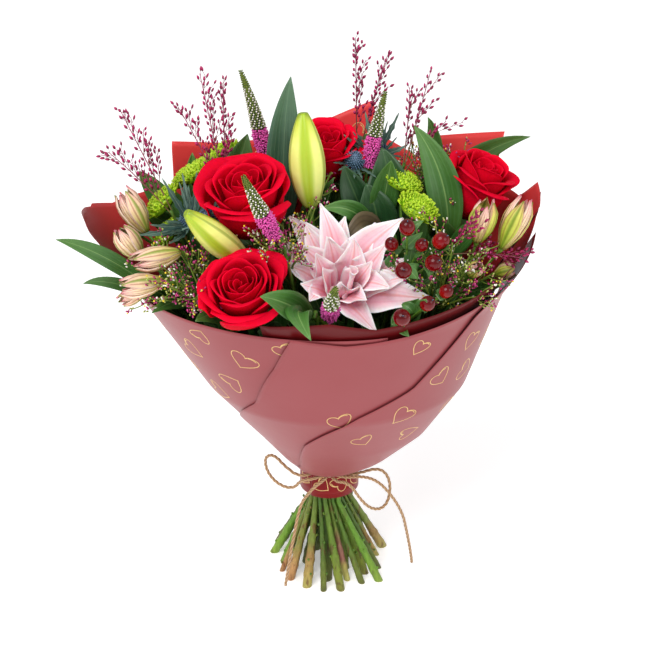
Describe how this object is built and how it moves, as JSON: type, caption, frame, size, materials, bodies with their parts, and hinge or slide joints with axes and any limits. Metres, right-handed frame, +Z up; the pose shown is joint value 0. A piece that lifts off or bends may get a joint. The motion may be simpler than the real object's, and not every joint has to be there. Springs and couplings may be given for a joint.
{
  "type": "mixed flower bouquet",
  "caption": "Hand-tied mixed bouquet: roses, a double lily, buds, berries and greenery fan out of a paper cone, tied with twine, and it stands on its cut stems.",
  "frame": {"origin": "cut end of the middle stem, on the surface that the bouquet stands on", "axes": "+Z up along the bunch, -Y towards the front where the twine is knotted, +X to the right as seen from the front"},
  "size_m": [0.3892, 0.2881, 0.4791],
  "materials": {
    "wrapping_paper": "smooth coated paper with a satin sheen, dusty rose outside and crimson inside",
    "jute_twine": "twisted natural fibre",
    "woody_stem": "fresh stem, matt",
    "red_petal": "velvet petal",
    "pink_petal": "satin petal",
    "bud": "waxy bud",
    "cream_petal": "satin petal with darker stripes",
    "lime_floret": "dense florets",
    "magenta_floret": "small florets",
    "thistle": "dry spiny bracts",
    "berry": "glossy berry",
    "panicle": "fine dry grass panicle",
    "filler_floret": "fine branchlets with small florets",
    "leaf": "waxy leaf"
  },
  "bodies": {
    "root": {"wrap_sheet_back_right": "wrapping_paper", "wrap_sheet_inner_right": "wrapping_paper", "wrap_sheet_back_left": "wrapping_paper", "wrap_sheet_left": "wrapping_paper", "wrap_sheet_centre": "wrapping_paper", "wrap_sheet_right": "wrapping_paper", "twine_binding": "jute_twine", "twine_loop_left": "jute_twine", "twine_loop_right": "jute_twine", "twine_tail_left": "jute_twine", "twine_tail_right": "jute_twine", "rose_front_stem": "woody_stem", "rose_left_stem": "woody_stem", "rose_centre_stem": "woody_stem", "rose_right_stem": "woody_stem", "rose_back_stem": "woody_stem", "lily_stem": "woody_stem", "alstroemeria_left": "cream_petal", "alstroemeria_right": "cream_petal", "chrysanthemum_left": "lime_floret", "chrysanthemum_rear_left": "lime_floret", "chrysanthemum_right": "lime_floret", "chrysanthemum_back": "lime_floret", "veronica_tall": "magenta_floret", "veronica_left": "magenta_floret", "veronica_right": "magenta_floret", "veronica_front": "magenta_floret", "eryngium_left": "thistle", "eryngium_centre": "thistle", "hypericum_upper": "berry", "hypericum_lower": "berry", "panicum_far_left": "panicle", "panicum_left": "panicle", "panicum_centre": "panicle", "panicum_right": "panicle", "panicum_far_right": "panicle", "limonium_left": "filler_floret", "limonium_centre": "filler_floret", "limonium_right": "filler_floret", "limonium_rear_right": "filler_floret", "foliage_tall": "leaf", "foliage_right": "leaf", "foliage_far_right": "leaf", "foliage_far_left": "leaf", "foliage_front": "leaf", "foliage_centre": "leaf", "foliage_rear_left": "leaf", "foliage_rear_right": "leaf", "lily_bud_upper": "bud", "lily_bud_left": "bud", "rose_front_bloom": "red_petal", "rose_left_bloom": "red_petal", "rose_centre_bloom": "red_petal", "rose_right_bloom": "red_petal", "rose_back_bloom": "red_petal", "lily_bloom": "pink_petal"}
  },
  "joints": []
}
